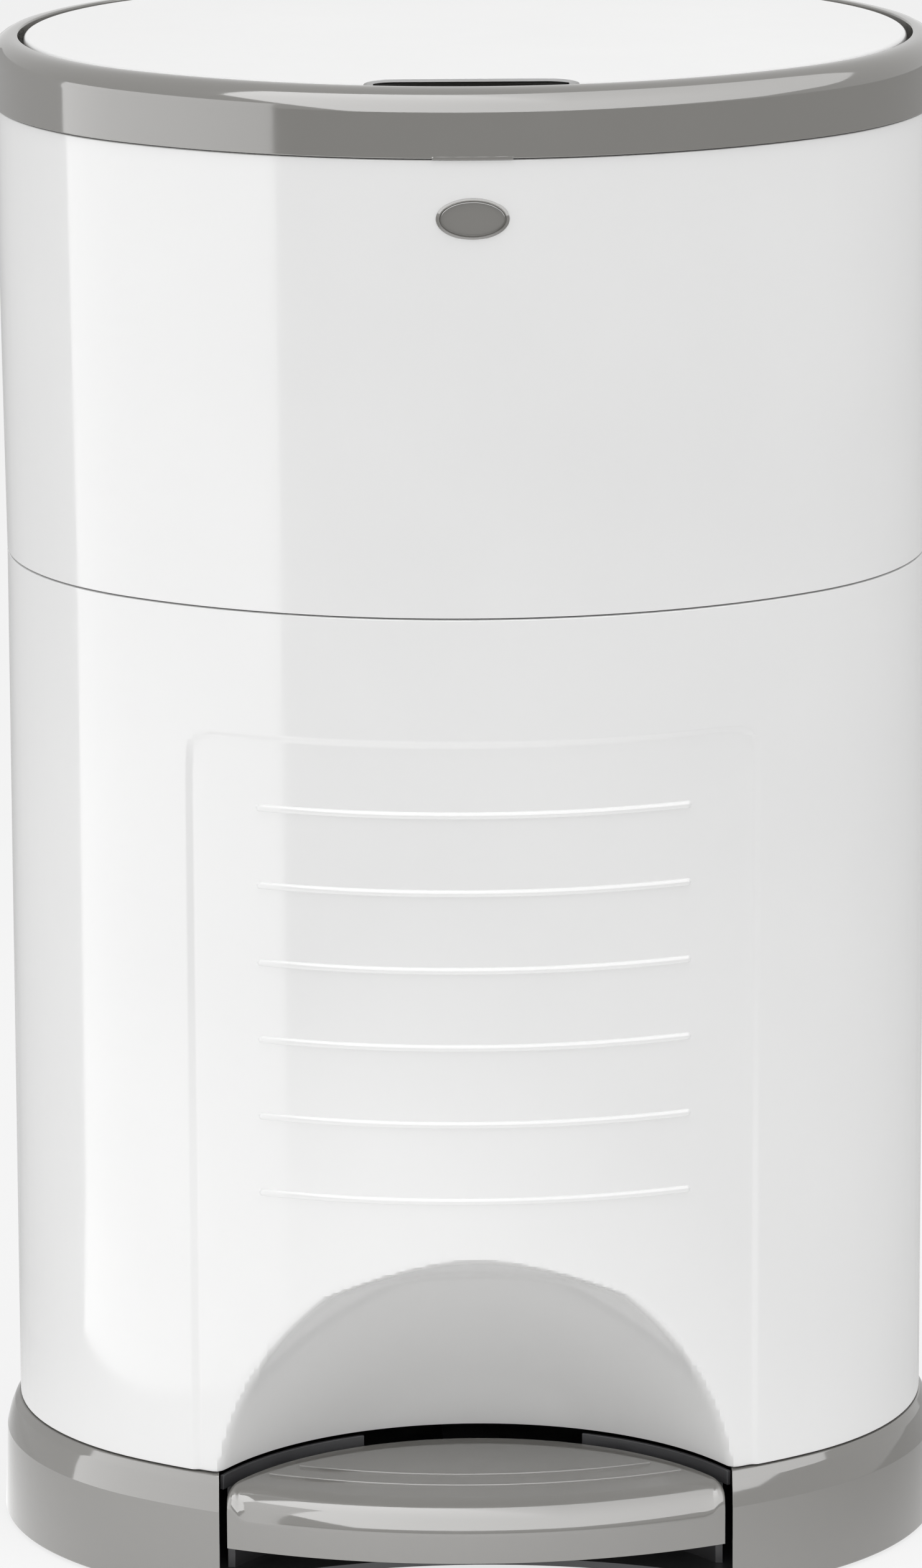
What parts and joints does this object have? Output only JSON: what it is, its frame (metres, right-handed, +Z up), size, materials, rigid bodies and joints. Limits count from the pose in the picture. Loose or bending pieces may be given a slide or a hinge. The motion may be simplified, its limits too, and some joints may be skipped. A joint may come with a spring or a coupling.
{
  "type": "nappy bin",
  "caption": "Oval pedal nappy bin with a lid, a grey rim and base, a front panel with ribs, a toe scoop, and an upper body that tilts back by a front button.",
  "frame": {"origin": "centre of the footprint, on the surface that the bin stands on", "axes": "+Z up, -Y is the front with the pedal and the button, +X to the right seen from the front"},
  "size_m": [0.305, 0.239, 0.4867],
  "materials": {
    "white_shell": "smooth gloss moulding",
    "grey_trim": "smooth gloss warm grey moulding",
    "dark_plastic": "matt moulding",
    "rubber": "matt rubber",
    "steel": "bright steel",
    "film": "pleated film"
  },
  "bodies": {
    "lower_body": {"base_ring": "grey_trim", "base_plate": "dark_plastic", "foot_pads": "rubber", "shell_screws": "steel", "lower_shell": "white_shell", "rod_guide_lower": "dark_plastic", "latch_keeper": "dark_plastic", "pedal_pin": "steel", "hinge_pin": "steel"},
    "upper_body": {"upper_shell": "white_shell", "rim_collar": "grey_trim", "cassette_tray": "white_shell", "tray_screws": "steel", "film_cassette": "grey_trim", "cassette_core": "grey_trim", "film_pack": "film", "flap_frame": "grey_trim", "flap_pins": "steel", "cutter_housing": "grey_trim", "cutter_blade": "steel", "rod_guide_upper": "dark_plastic", "latch_bracket": "steel", "latch_pin": "steel", "latch_spring": "steel", "funnel": "white_shell", "funnel_screws": "steel", "lid_hinge_pin": "steel"},
    "lid": {"lid_plate": "white_shell", "lid_liner": "grey_trim", "lid_seal": "rubber", "lid_crank": "dark_plastic"},
    "pedal": {"pedal_cover": "grey_trim", "pedal_lever": "dark_plastic"},
    "lower_rod": {"push_rod_lower": "steel"},
    "upper_rod": {"push_rod_upper": "steel"},
    "left_flap": {"flap_left": "rubber"},
    "right_flap": {"flap_right": "rubber"},
    "button": {"release_button": "grey_trim"},
    "latch": {"latch_lever": "dark_plastic"}
  },
  "joints": [
    {"name": "upper_tilt", "type": "hinge", "parent": "lower_body", "child": "upper_body", "pos_m": [0, 0.1169, 0.32155], "axis": [-1, 0, 0], "range_deg": [0, 90]},
    {"name": "lid_open", "type": "hinge", "parent": "upper_body", "child": "lid", "pos_m": [0, 0.099, 0.483], "axis": [-1, 0, 0], "range_deg": [0, 80]},
    {"name": "pedal_press", "type": "hinge", "parent": "lower_body", "child": "pedal", "pos_m": [0, -0.04, 0.022], "axis": [1, 0, 0], "range_deg": [0, 8]},
    {"name": "lower_rod_lift", "type": "slide", "parent": "lower_body", "child": "lower_rod", "axis": [0, 0, 1], "range_m": [0, 0.018]},
    {"name": "upper_rod_lift", "type": "slide", "parent": "upper_body", "child": "upper_rod", "axis": [0, 0, 1], "range_m": [0, 0.018]},
    {"name": "left_flap_drop", "type": "hinge", "parent": "upper_body", "child": "left_flap", "pos_m": [-0.056, -0.005, 0.38], "axis": [0, 1, 0], "range_deg": [0, 80]},
    {"name": "right_flap_drop", "type": "hinge", "parent": "upper_body", "child": "right_flap", "pos_m": [0.056, -0.005, 0.38], "axis": [0, -1, 0], "range_deg": [0, 80]},
    {"name": "button_press", "type": "slide", "parent": "upper_body", "child": "button", "axis": [0, 1, 0], "range_m": [0, 0.0025], "stiffness_N_per_m": 400, "springref_m": -0.001},
    {"name": "latch_turn", "type": "hinge", "parent": "upper_body", "child": "latch", "pos_m": [0, -0.101, 0.4], "axis": [-1, 0, 0], "range_deg": [0, 3.1]}
  ],
  "couplings": [
    {"joint": "pedal_press", "follows": "lid_open", "ratio": 0.1},
    {"joint": "lower_rod_lift", "follows": "lid_open", "m_per_rad": 0.012892},
    {"joint": "upper_rod_lift", "follows": "lid_open", "m_per_rad": 0.012892},
    {"joint": "left_flap_drop", "follows": "lid_open", "ratio": 1},
    {"joint": "right_flap_drop", "follows": "lid_open", "ratio": 1},
    {"joint": "latch_turn", "follows": "button_press", "rad_per_m": 21.2}
  ]
}
